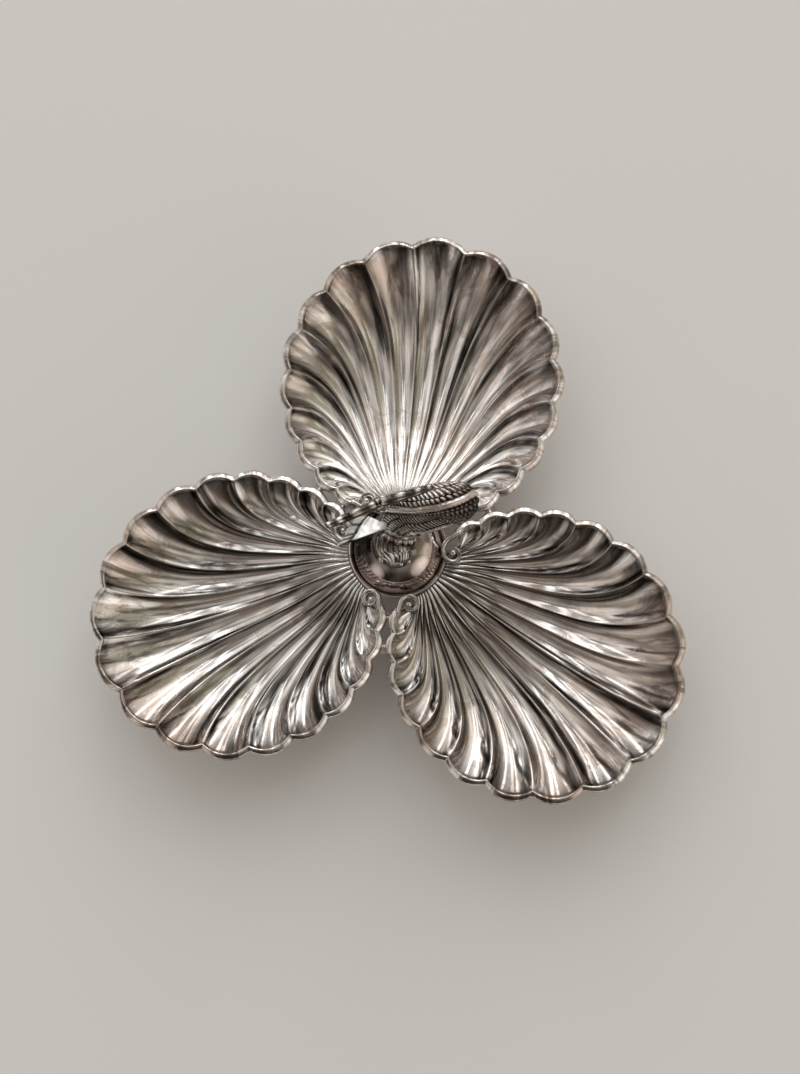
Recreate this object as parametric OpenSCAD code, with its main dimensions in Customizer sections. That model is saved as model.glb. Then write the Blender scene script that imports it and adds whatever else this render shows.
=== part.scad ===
// Three-lobed serving dish: three fluted scallop-shell bowls joined round a
// domed hub that carries a cast dolphin as its handle. Millimetres, +Z up.
// The dish stands on three bun feet at z = 0, with its outline centred on the origin.

/* [Shell bowls] */
// Length of each bowl's rim oval, measured along the shell
bowl_l = 123; // [112:1:132]
// Width of each bowl's rim oval, measured across the shell
bowl_w = 117; // [104:1:122]
// Depth of each bowl below its rim
bowl_d = 22; // [16:1:28]
// Height of the sheet metal, measured upright
sheet = 2; // [1.6:0.1:2.6]
// Steepness of the bowl wall: larger makes a flatter floor
wall_power = 2.6; // [2:0.1:4]
// Gap between neighbouring shells at their nearest
shell_gap = 0.5; // [0.3:0.1:1.5]

/* [Flutes] */
// Flutes on each side of the middle one
side_flutes = 8; // [6:1:9]
// Angle round the oval from the front to the last full notch
fan_angle = 149; // [144:1:151]
// Share by which each flute is narrower than the one before it
flute_shrink = 0.06; // [0.03:0.005:0.065]
// Angle round the oval at which the rim ends beside the hub
rim_end_angle = 160; // [157:1:162]
// Outward swell of each rim lobe, as a share of its width
lobe_swell = 0.16; // [0.08:0.01:0.2]
// Scooped depth of each flute, as a share of its width
flute_scoop = 0.16; // [0.08:0.01:0.18]
// Half angle of the fan where the flutes leave the hub
fan_start = 75; // [60:1:85]

/* [Rim lip] */
// Width of the turned-down lip
lip_w = 3.2; // [2.4:0.1:4]
// Drop of the turned-down lip
lip_drop = 4; // [3.4:0.1:5]
// Rise of the lip's crown above the rim
lip_crown = 0.7; // [0.3:0.1:1.2]

/* [Bridges] */
// Width of the straps that tie neighbouring lips together
strap_w = 5; // [3:0.5:7]
// Thickness of the straps that tie neighbouring lips together
strap_t = 1.6; // [1:0.1:2.4]

/* [Hub] */
// Radius at which each shell bends out of its flat tongue
hinge_r = 25; // [24.4:0.1:26]
// Half angle of each shell's flat tongue
tongue_angle = 34; // [28:1:38]
// Inner radius of each tongue
tongue_r = 9; // [8:0.1:12]
// Depth of the tongues below the rim
hub_drop = 7; // [6:0.5:10]
// Radius of the plate under the tongues
plate_r = 22; // [20:0.5:23]
// Thickness of the plate under the tongues
plate_t = 2.5; // [2:0.1:4]
// Outer radius of the collar under the dome
collar_r = 22.4; // [21.5:0.1:23.5]
// Inner radius of the collar under the dome
collar_hole_r = 16; // [13:0.5:17]
// Thickness of the collar under the dome
collar_t = 1.6; // [1.2:0.1:2.4]
// Radius of the dome at its foot
dome_r = 20.2; // [19:0.1:21]
// Height of the dome
dome_h = 14; // [11:0.5:17]
// Wall of the dome
dome_t = 1.5; // [1:0.1:2]

/* [Handle] */
// Angle about the hub axis by which the handle is turned
handle_turn = 8; // [0:1:30]
// Radius of the pedestal's foot on the dome
pedestal_r = 5.5; // [5.2:0.1:7]
// Radius of the pedestal's head under the dolphin
pedestal_head_r = 4.6; // [4.4:0.1:5.2]
// Height of the pedestal between the dome and the dolphin
pedestal_h = 3; // [2:0.1:6]
// Height of the dolphin without its tail fan
dolphin_h = 50; // [42:1:60]
// Girth of the dolphin: its widest radius
dolphin_r = 9; // [8.6:0.1:9.6]
// Span of the tail fan from tip to tip
tail_span = 46; // [36:1:56]
// Height of the tail fan
tail_h = 13; // [9:0.5:18]
// Thickness of the tail fan
tail_t = 4; // [2.4:0.1:5]
// Angle by which the right half of the tail fan turns back
right_fluke_turn = 13; // [0:1:25]
// Angle by which the left half of the tail fan turns forward
left_fluke_turn = 27; // [10:1:35]
// Length of each side fin
fin_l = 22; // [16:1:24]
// Breadth of each side fin at its outer edge
fin_b = 16; // [10:1:20]
// Thickness of each side fin
fin_t = 1.8; // [1.2:0.1:2.4]
// Angle by which each side fin droops towards its outer edge
fin_droop = 12; // [0:1:16]
// Angle up the flank of the neck at which the left fin stands out
left_fin_lift = 50; // [35:1:60]
// Angle down the flank of the neck at which the right fin stands out
right_fin_drop = 40; // [36:1:45]
// Angle by which the right fin sweeps back
right_fin_sweep = 40; // [20:1:45]

/* [Fasteners] */
// Diameter of the stud that ties the handle to the hub
stud_d = 5; // [4:0.1:5.6]
// Depth to which the stud enters the dolphin
stud_depth = 8; // [5:0.5:9]
// Width across the flats of the nut
nut_af = 9; // [8:0.1:11]
// Height of the nut
nut_h = 4; // [3:0.1:6]
// Length of stud that stands out below the nut
stud_tail = 1.5; // [0.5:0.1:3]
// Diameter of the washer
washer_d = 14; // [12:0.1:18]
// Thickness of the washer
washer_t = 1.2; // [0.8:0.1:2]

/* [Feet] */
// Height of each bun foot
foot_h = 9; // [7:0.5:14]
// Radius of each bun foot at its widest
foot_r = 7; // [6:0.5:9]
// Radius of the flat that each foot stands on
foot_flat_r = 4; // [3:0.5:5]
// Radius of the flange by which each foot is soldered on
foot_flange_r = 6; // [5:0.5:7]
// Thickness of the flange by which each foot is soldered on
foot_flange_t = 1; // [0.8:0.1:1.6]

/* [Clearances] */
// Clearance of the stud in the holes it passes through
stud_fit = 0.2; // [0.1:0.05:0.3]
// Gap left for solder between a soldered fin and the dolphin
solder_gap = 0.3; // [0.1:0.05:0.5]

/* [Hidden] */
$fn = 64;

silver = [0.78, 0.75, 0.71];
shade = [0.62, 0.58, 0.53];
brass = [0.75, 0.62, 0.36];

// Directions of the three shells and of the seams between them
back = 90;
left = 210;
right = 330;
half_turn = 60;
// Mesh divisions of a shell
lobe_cuts = 4;
bowl_rows = 8;
// Share of a flute's run over which it leaves the level of the tongue
hinge_blend = 0.25;
// Extra height that keeps the flat seat for a foot inside the sheet
seat_rise = 1.5;

// Levels
rim_z = foot_h + sheet + bowl_d + seat_rise;
lip_z = rim_z - lip_drop;
hub_z = rim_z - hub_drop;
plate_z = hub_z - sheet - plate_t;
dome_z = hub_z + collar_t;
pedestal_z = dome_z + dome_h;
dolphin_z = pedestal_z + pedestal_h;

function unit(v) = v / norm(v);
function hump(t) = 4 * t * (1 - t);
function ease(x) = let (t = min(max(x, 0), 1)) t * t * (3 - 2 * t);
function at(p, z) = [p[0], p[1], z];

// Rim of one shell about the middle of its bowl, with the front of the shell along +X
first_flute = fan_angle / (side_flutes + 0.5 - flute_shrink * side_flutes * (side_flutes + 1) / 2);
function notch(k) = k > side_flutes
    ? rim_end_angle
    : first_flute * (k + 0.5 - flute_shrink * k * (k + 1) / 2);
function oval(q) = [bowl_l / 2 * cos(q), bowl_w / 2 * sin(q)];
function out_dir(q) = unit([cos(q) / bowl_l, sin(q) / bowl_w]);

// Each lobe as [start angle, end angle], from one end of the rim to the other
lobes = concat(
    [for (k = [side_flutes + 1:-1:1]) [-notch(k), -notch(k - 1)]],
    [[-notch(0), notch(0)]],
    [for (k = [1:side_flutes + 1]) [notch(k - 1), notch(k)]]
);
function lobe_width(lobe) = norm(oval(lobe[1]) - oval(lobe[0]));
function column(lobe, t) = [lobe[0] + (lobe[1] - lobe[0]) * t, t, lobe_width(lobe)];

// Each column of the shell as [angle, share of the way across its lobe, width of its lobe]
columns = concat(
    [for (lobe = lobes) for (i = [0:lobe_cuts - 1]) column(lobe, i / lobe_cuts)],
    [column(lobes[len(lobes) - 1], 1)]
);
function rim_offset(c, w) = oval(c[0]) + out_dir(c[0]) * (w + lobe_swell * c[2] * hump(c[1]));

// The bowls stand as far out as keeps neighbouring lips the shell gap apart
bowl_reach = max([for (c = columns)
    let (p = rim_offset(c, lip_w)) (shell_gap / 2 + p[1] * cos(half_turn)) / sin(half_turn) - p[0]]);
function rim_point(c, w = 0) = [bowl_reach, 0] + rim_offset(c, w);

// The whole dish is moved so that its outline is centred on the origin
function turned(p, q) = [p[0] * cos(q) - p[1] * sin(q), p[0] * sin(q) + p[1] * cos(q)];
back_y = max([for (c = columns) turned(rim_point(c, lip_w), back)[1]]);
front_y = min([for (c = columns) turned(rim_point(c, lip_w), left)[1]]);
axis_y = -(back_y + front_y) / 2;

// A flute runs from the hinge to the rim, fanning out like a fountain
function hinge_point(c, r) =
    let (q = tongue_angle * c[0] / rim_end_angle) r * [cos(q), sin(q)];
function bezier(p, t) =
    pow(1 - t, 3) * p[0] + 3 * t * pow(1 - t, 2) * p[1] + 3 * t * t * (1 - t) * p[2] + pow(t, 3) * p[3];
function flute_curve(c) =
    let (
        h = hinge_point(c, hinge_r),
        r = rim_point(c),
        pull = norm(r - h) / 3,
        q = fan_start * c[0] / rim_end_angle
    )
    [h, h + pull * [cos(q), sin(q)], r - pull * out_dir(c[0]), r];

// A point of the upper surface at share t of the way from the hinge to the rim
function bowl_share(p) = norm([(p[0] - bowl_reach) / bowl_l, p[1] / bowl_w]) * 2;
function bowl_point(c, t) =
    let (
        p = bezier(flute_curve(c), t),
        share = bowl_share(p) / bowl_share(rim_point(c)),
        bowl_z = rim_z - bowl_d * (1 - pow(share, wall_power)),
        scoop = flute_scoop * c[2] * hump(c[1]) * (0.3 + 0.7 * t) * (1 - pow(t, 6)),
        k = ease(t / hinge_blend)
    )
    at(p, hub_z * (1 - k) + (bowl_z - scoop) * k);
function under(p) = at(p, max(p[2] - sheet, foot_h));

// The closed section of a column: tongue and bowl above, lip, bowl and tongue below
function section(c) = concat(
    [at(hinge_point(c, tongue_r), hub_z)],
    [for (i = [0:bowl_rows]) bowl_point(c, i / bowl_rows)],
    [
        at(rim_point(c, lip_w * 0.4), rim_z + lip_crown),
        at(rim_point(c, lip_w * 0.8), rim_z),
        at(rim_point(c, lip_w), rim_z - lip_w * 0.4),
        at(rim_point(c, lip_w), lip_z),
        at(rim_point(c, lip_w * 0.6), lip_z),
        at(rim_point(c, lip_w * 0.3), rim_z - sheet)
    ],
    [for (i = [bowl_rows - 1:-1:0]) under(bowl_point(c, i / bowl_rows))],
    [at(hinge_point(c, tongue_r), hub_z - sheet)]
);

// An end of the shell: a strip along tongue and bowl, then the lip's own section
function end_faces(n) = concat(
    [for (j = [0:bowl_rows]) each [[j, j + 1, n - 2 - j], [j, n - 2 - j, n - 1 - j]]],
    [[for (j = [bowl_rows + 1:n - 2 - bowl_rows]) j]]
);
function flipped(faces) = [for (f = faces) [for (i = [len(f) - 1:-1:0]) f[i]]];
function moved(faces, by) = [for (f = faces) [for (i = f) i + by]];

// Skin over a row of closed sections, with the given faces closing its two ends
module skin(rings, start_faces) {
    n = len(rings[0]);
    last = len(rings) - 1;
    polyhedron(
        points = [for (ring = rings) each ring],
        faces = concat(
            start_faces,
            [for (i = [0:last - 1]) for (j = [0:n - 1]) each
                let (a = i * n + j, b = i * n + (j + 1) % n) [[a, a + n, b], [b, a + n, b + n]]],
            moved(flipped(start_faces), last * n)
        )
    );
}

// Places a piece that is drawn about the hub axis
module on_hub(turn = 0) {
    translate([0, axis_y, 0]) rotate([0, 0, turn]) children();
}

module shell(turn) {
    rings = [for (c = columns) section(c)];
    color(silver) on_hub(turn) skin(rings, end_faces(len(rings[0])));
}

// A strap under two neighbouring lips, at the lobe that is number k from the front
module bridge(turn, k) {
    p = rim_point(column([notch(k - 1), notch(k)], 0.5), lip_w);
    r = p[0] * cos(half_turn) + p[1] * sin(half_turn);
    l = shell_gap + 2 * lip_w;
    color(shade) on_hub(turn + half_turn)
        translate([r - strap_w / 2, -l / 2, lip_z - strap_t]) cube([strap_w, l, strap_t]);
}
module inner_bridge(turn) { bridge(turn, side_flutes + 1); }
module outer_bridge(turn) { bridge(turn, side_flutes); }

// Hub
stud_hole_r = stud_d / 2 + stud_fit;
module hub_plate() {
    color(shade) on_hub() difference() {
        translate([0, 0, plate_z]) cylinder(r = plate_r, h = plate_t);
        translate([0, 0, plate_z - 1]) cylinder(r = stud_hole_r, h = plate_t + 2);
    }
}

module dome_collar() {
    edge = collar_t / 2;
    color(silver) on_hub() translate([0, 0, hub_z]) rotate_extrude() union() {
        translate([collar_hole_r, 0]) square([collar_r - edge - collar_hole_r, collar_t]);
        translate([collar_r - edge, edge]) circle(r = edge, $fn = 32);
    }
}

// The dome's sphere passes through its foot and through the rim of the pedestal's flat seat
dome_mid = (dome_h * dome_h + pedestal_r * pedestal_r - dome_r * dome_r) / (2 * dome_h);
dome_ball_r = norm([dome_r, dome_mid]);
module dome() {
    color(silver) on_hub() translate([0, 0, dome_z]) difference() {
        intersection() {
            translate([0, 0, dome_mid]) sphere(r = dome_ball_r, $fn = 96);
            cylinder(r = dome_r + 1, h = dome_h);
        }
        translate([0, 0, dome_mid]) sphere(r = dome_ball_r - dome_t, $fn = 96);
        cylinder(r = stud_hole_r, h = dome_h + 1);
    }
}

module pedestal() {
    color(silver) on_hub() translate([0, 0, pedestal_z]) rotate_extrude() polygon([
        [stud_hole_r, 0], [pedestal_r, 0], [pedestal_r, pedestal_h * 0.25],
        [pedestal_head_r - 0.6, pedestal_h * 0.5], [pedestal_head_r, pedestal_h * 0.8],
        [pedestal_head_r, pedestal_h], [stud_hole_r, pedestal_h]
    ]);
}

// Dolphin: stations from the snout to the root of the tail, as shares of its height
// and girth: [right, back, up, half width, half thickness]
dolphin_stations = [
    [0.03, -0.205, 0.05, 0.34, 0.18],
    [0.02, -0.15, 0.08, 0.68, 0.46],
    [-0.01, -0.03, 0.115, 1.04, 0.92],
    [0.05, 0.14, 0.22, 0.86, 0.84],
    [0.14, 0.21, 0.33, 0.88, 0.86],
    [0.28, 0.21, 0.43, 0.90, 0.90],
    [0.45, 0.24, 0.55, 0.88, 0.88],
    [0.58, 0.26, 0.69, 0.84, 0.84],
    [0.46, 0.25, 0.83, 0.78, 0.76],
    [0.23, 0.23, 0.87, 0.64, 0.62],
    [0.06, 0.21, 0.88, 0.50, 0.48],
    [-0.05, 0.20, 0.92, 0.40, 0.38],
    [-0.07, 0.19, 1.00, 0.36, 0.34]
];
span_cuts = 3;
ring_sides = 18;
station_last = len(dolphin_stations) - 1;
function station(i) =
    let (s = dolphin_stations[min(max(i, 0), station_last)])
    [s[0] * dolphin_h, s[1] * dolphin_h, s[2] * dolphin_h, s[3] * dolphin_r, s[4] * dolphin_r];
// Smooth curve through four neighbouring stations
function blend(a, b, c, d, t) =
    (2 * b + (c - a) * t + (2 * a - 5 * b + 4 * c - d) * t * t + (3 * b - a - 3 * c + d) * t * t * t) / 2;
spine = concat(
    [for (i = [0:station_last - 1]) for (k = [0:span_cuts - 1])
        blend(station(i - 1), station(i), station(i + 1), station(i + 2), k / span_cuts)],
    [station(station_last)]
);
function place(s) = [s[0], s[1], s[2]];
spine_last = len(spine) - 1;
function heading(i) = i == spine_last
    ? [0, 0, 1]
    : unit(place(spine[i + 1]) - place(spine[max(i - 1, 0)]));
// Sideways direction of each ring, carried along the spine without twist
function carried(side, dir) = unit(side - (side * dir) * dir);
function sides(i, side) = i > spine_last
    ? []
    : let (s = carried(side, heading(i))) concat([s], sides(i + 1, s));
spine_sides = sides(0, [1, 0, 0]);
function ring_point(i, q, gap = 0) =
    let (s = spine_sides[i], u = cross(s, heading(i)))
    place(spine[i]) + s * cos(q) * (spine[i][3] + gap) + u * sin(q) * (spine[i][4] + gap);
function ring(i) = [for (k = [0:ring_sides - 1]) ring_point(i, -360 * k / ring_sides)];

module on_dolphin() {
    on_hub(handle_turn) translate([0, 0, dolphin_z]) children();
}

module dolphin_body() {
    reach = dolphin_h;
    color(silver) on_dolphin() difference() {
        skin([for (i = [0:spine_last]) ring(i)], [[for (k = [0:ring_sides - 1]) k]]);
        translate([-reach, -reach, -reach]) cube([2 * reach, 2 * reach, reach]);
        translate([0, 0, -1]) cylinder(r = stud_hole_r, h = stud_depth + 1 + stud_fit);
    }
}

// Side fins stand out from seats on the flanks of the neck
neck = 3 * span_cuts;
fin_root = fin_b * 0.3;
module fin(seat, turn, front) {
    color(silver) on_dolphin() translate(ring_point(neck, seat, fin_t / 2 + solder_gap))
        rotate([0, fin_droop, turn]) translate([0, 0, -fin_t / 2])
            linear_extrude(fin_t) polygon([
                [0, -front * fin_root / 2], [fin_l * 0.6, -front * fin_b * 0.42],
                [fin_l * 0.78, -front * fin_b * 0.1], [fin_l * 0.88, front * fin_b * 0.22],
                [fin_l, front * fin_b / 2], [0, front * fin_root / 2]
            ]);
}
module left_fin() { fin(180 - left_fin_lift, 180, 1); }
module right_fin() { fin(-right_fin_drop, right_fin_sweep, -1); }

// The tail fan stands on the flat end of the tail
fan_root = 0.3 * dolphin_r;
module fluke(turn) {
    rotate([90, 0, turn]) translate([0, 0, -tail_t / 2]) linear_extrude(tail_t) polygon([
        [0, 0], [fan_root, 0], [tail_span * 0.2, tail_h * 0.3], [tail_span * 0.36, tail_h * 0.45],
        [tail_span / 2, tail_h], [tail_span * 0.3, tail_h * 0.85], [tail_span * 0.12, tail_h * 0.7],
        [0, tail_h * 0.5]
    ]);
}
module tail_fan() {
    color(silver) on_dolphin() translate(place(station(station_last))) union() {
        fluke(right_fluke_turn);
        fluke(180 + left_fluke_turn);
        cylinder(r = fan_root, h = tail_h * 0.45);
    }
}

// Fasteners
washer_z = plate_z - washer_t;
nut_z = washer_z - nut_h;
module stud() {
    z = nut_z - stud_tail;
    color(brass) on_hub() translate([0, 0, z]) cylinder(r = stud_d / 2, h = dolphin_z + stud_depth - z);
}
module washer() {
    color(brass) on_hub() translate([0, 0, washer_z]) difference() {
        cylinder(r = washer_d / 2, h = washer_t);
        translate([0, 0, -1]) cylinder(r = stud_hole_r, h = washer_t + 2);
    }
}
module nut() {
    color(brass) on_hub() translate([0, 0, nut_z]) difference() {
        cylinder(r = nut_af / 2 / cos(30), h = nut_h, $fn = 6);
        translate([0, 0, -1]) cylinder(r = stud_hole_r, h = nut_h + 2);
    }
}

// Feet, under the middle of each bowl
module foot(turn) {
    bun_h = foot_h - foot_flange_t;
    color(shade) on_hub(turn) translate([bowl_reach, 0, 0]) rotate_extrude() polygon([
        [0, 0], [foot_flat_r, 0], [foot_r * 0.85, bun_h * 0.15], [foot_r, bun_h * 0.4],
        [foot_r * 0.85, bun_h * 0.68], [foot_r * 0.55, bun_h * 0.85], [foot_r * 0.5, bun_h],
        [foot_flange_r, bun_h], [foot_flange_r, foot_h], [0, foot_h]
    ]);
}

shell(back);  // back_shell
shell(left);  // left_shell
shell(right);  // right_shell
inner_bridge(back);  // back_left_inner_bridge
inner_bridge(left);  // left_right_inner_bridge
inner_bridge(right);  // right_back_inner_bridge
outer_bridge(back);  // back_left_outer_bridge
outer_bridge(left);  // left_right_outer_bridge
outer_bridge(right);  // right_back_outer_bridge
hub_plate();
dome_collar();
dome();
pedestal();
dolphin_body();
left_fin();
right_fin();
tail_fan();
stud();
washer();
nut();
foot(back);  // back_foot
foot(left);  // left_foot
foot(right);  // right_foot
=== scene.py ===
import math

import bmesh
import bpy
import numpy as np
from mathutils import Matrix, Vector


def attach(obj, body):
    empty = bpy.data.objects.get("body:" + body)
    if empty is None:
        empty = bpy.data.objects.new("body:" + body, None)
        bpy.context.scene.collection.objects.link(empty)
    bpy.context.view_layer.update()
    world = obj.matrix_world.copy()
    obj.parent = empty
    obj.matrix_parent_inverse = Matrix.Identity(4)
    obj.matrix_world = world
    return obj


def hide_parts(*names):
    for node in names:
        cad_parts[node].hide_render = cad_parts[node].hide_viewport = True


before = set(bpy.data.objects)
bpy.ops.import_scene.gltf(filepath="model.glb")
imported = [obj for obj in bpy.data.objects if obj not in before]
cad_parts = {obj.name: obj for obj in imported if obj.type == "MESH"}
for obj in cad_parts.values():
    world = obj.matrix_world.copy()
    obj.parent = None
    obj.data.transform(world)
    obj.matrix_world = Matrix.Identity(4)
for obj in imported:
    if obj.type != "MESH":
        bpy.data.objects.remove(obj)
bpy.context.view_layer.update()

# Sizes of the dish in millimetres and degrees, as in the part's source
BOWL_L, BOWL_W, BOWL_D = 123.0, 117.0, 22.0
SHEET, SHELL_GAP = 2.0, 0.5
SIDE_FLUTES, FAN_ANGLE, FLUTE_SHRINK = 8, 149.0, 0.06
RIM_END, LOBE_SWELL, FLUTE_SCOOP, FAN_START = 160.0, 0.16, 0.16, 75.0
LIP_W, LIP_DROP = 3.2, 4.0
STRAP_W, STRAP_T = 5.0, 1.6
HINGE_R, TONGUE_ANGLE, TONGUE_R, HUB_DROP = 25.0, 34.0, 9.0, 7.0
PLATE_R, PLATE_T = 22.0, 2.5
COLLAR_R, COLLAR_HOLE_R, COLLAR_T = 22.4, 16.0, 1.6
DOME_R, DOME_H, DOME_T = 20.2, 14.0, 1.5
HANDLE_TURN, PEDESTAL_R, PEDESTAL_HEAD_R, PEDESTAL_H = 8.0, 5.5, 4.6, 3.0
DOLPHIN_H, DOLPHIN_R = 50.0, 9.0
TAIL_SPAN, TAIL_H, TAIL_T = 46.0, 13.0, 4.0
RIGHT_FLUKE_TURN, LEFT_FLUKE_TURN = 13.0, 27.0
FIN_L, FIN_B, FIN_T, FIN_DROOP = 22.0, 16.0, 1.8, 12.0
LEFT_FIN_LIFT, RIGHT_FIN_DROP, RIGHT_FIN_SWEEP = 50.0, 40.0, 40.0
STUD_D, NUT_AF, NUT_H, STUD_TAIL = 5.0, 9.0, 4.0, 1.5
WASHER_D, WASHER_T = 14.0, 1.2
FOOT_H, FOOT_R, FOOT_FLAT_R, FOOT_FLANGE_R, FOOT_FLANGE_T = 9.0, 7.0, 4.0, 6.0, 1.0
STUD_FIT, SOLDER_GAP, SEAT_RISE, HINGE_BLEND = 0.2, 0.3, 1.5, 0.25

RIM_Z = FOOT_H + SHEET + BOWL_D + SEAT_RISE
LIP_Z = RIM_Z - LIP_DROP
HUB_Z = RIM_Z - HUB_DROP
PLATE_Z = HUB_Z - SHEET - PLATE_T
DOME_Z = HUB_Z + COLLAR_T
PEDESTAL_Z = DOME_Z + DOME_H
DOLPHIN_Z = PEDESTAL_Z + PEDESTAL_H
STUD_HOLE_R = STUD_D / 2 + STUD_FIT
SHELL_TURN = {"back": 90.0, "left": 210.0, "right": 330.0}
HALF_TURN = 60.0
MM_PER_M = 1000

# Where a bowl is softer than its solid: the rise of its wall, the share of its run that its start
# by the hub takes to fall away and how it bends there, and the place, length, rounding and
# flattening of the soft middle of its flutes
WALL_POWER = 2.25
HINGE_FADE, HINGE_BEND = 0.33, 2.2
SOFT_MID, SOFT_HALF, SOFT_ROUND, SOFT_FLAT = 0.4, 0.2, 0.12, 0.3
RIDGE_ROUND, LIP_ROUND, RIB_ROUND = 0.035, 0.04, 0.05


def cosd(a):
    return np.cos(np.radians(a))


def sind(a):
    return np.sin(np.radians(a))


def unit(v):
    v = np.asarray(v, float)
    return v / np.linalg.norm(v, axis=-1, keepdims=True)


def ease(x):
    """A smooth step from 0 to 1."""
    t = np.clip(x, 0, 1)
    return t * t * (3 - 2 * t)


def bump(x, mid, half):
    """A soft peak of height 1."""
    return np.exp(-(((x - mid) / half) ** 2))


# Materials: scales of the noises per metre, the length in millimetres by which places along a flute
# are divided, and the numbers of the finish
CLOUD_SCALE, FILM_SCALE, PATCH_SCALE, GRAIN_SCALE = 26.0, 60.0, 140.0, 1600.0
FLUTE_RUN = 150.0
SMEAR_STRETCH, DRAWN_STRETCH, TARNISH_STRETCH = (0.4, 0.03, 1.0), (1.1, 0.014, 1.0), (0.13, 0.024, 1.0)
TARNISH_SHARE = 0.22
SCRATCHES = ((0.5, 900.0), (2.1, 1300.0))
RELIEF_STRENGTH, RELIEF_DEPTH = 0.5, 0.0001
LEAST_ROUGH, PATCHY_ROUGH, HAZE_ROUGH = 0.5, 0.9, 0.26
LEAST_HAZE, TONED_HAZE = 0.04, 0.2


def material(name):
    mat = bpy.data.materials.new(name)
    mat.use_nodes = True
    tree = mat.node_tree
    shader = tree.nodes["Principled BSDF"]
    return mat, tree, shader


def node(tree, kind, **values):
    n = tree.nodes.new(kind)
    for key, value in values.items():
        if hasattr(n, key):
            setattr(n, key, value)
        else:
            n.inputs[key.replace("_", " ")].default_value = value
    return n


def math_node(tree, op, a, b):
    """A Math node. Each of a and b is a number or a socket."""
    n = tree.nodes.new("ShaderNodeMath")
    n.operation = op
    for i, v in enumerate((a, b)):
        if isinstance(v, (int, float)):
            n.inputs[i].default_value = v
        else:
            tree.links.new(v, n.inputs[i])
    return n.outputs[0]


def ramp(tree, source, stops):
    """A colour ramp. Each stop is a place and a grey or a colour."""
    n = tree.nodes.new("ShaderNodeValToRGB")
    elements = n.color_ramp.elements
    while len(elements) < len(stops):
        elements.new(0.5)
    for e, (pos, colour) in zip(elements, stops):
        e.position = pos
        e.color = (*colour, 1) if len(colour) == 3 else (colour[0],) * 3 + (1,)
    tree.links.new(source, n.inputs[0])
    return n.outputs[0]


def mix(tree, factor, a, b, blend="MIX"):
    """A colour mix of numbers, colours or sockets."""
    n = tree.nodes.new("ShaderNodeMix")
    n.data_type = "RGBA"
    n.blend_type = blend
    sockets = (n.inputs["Factor"], n.inputs[6], n.inputs[7])
    for s, v in zip(sockets, (factor, a, b)):
        if isinstance(v, (int, float)):
            s.default_value = v
        elif isinstance(v, tuple):
            s.default_value = (*v, 1)
        else:
            tree.links.new(v, s)
    return n.outputs[2]


def noise(tree, place, scale, detail=4.0, rough=0.6, warp=0.0):
    n = node(tree, "ShaderNodeTexNoise", Scale=scale, Detail=detail, Roughness=rough, Distortion=warp)
    tree.links.new(place, n.inputs["Vector"])
    return n.outputs["Fac"]


def stretched(tree, place, turn, scale):
    m = node(tree, "ShaderNodeMapping")
    m.inputs["Rotation"].default_value = turn
    m.inputs["Scale"].default_value = scale
    tree.links.new(place, m.inputs["Vector"])
    return m.outputs[0]


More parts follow.
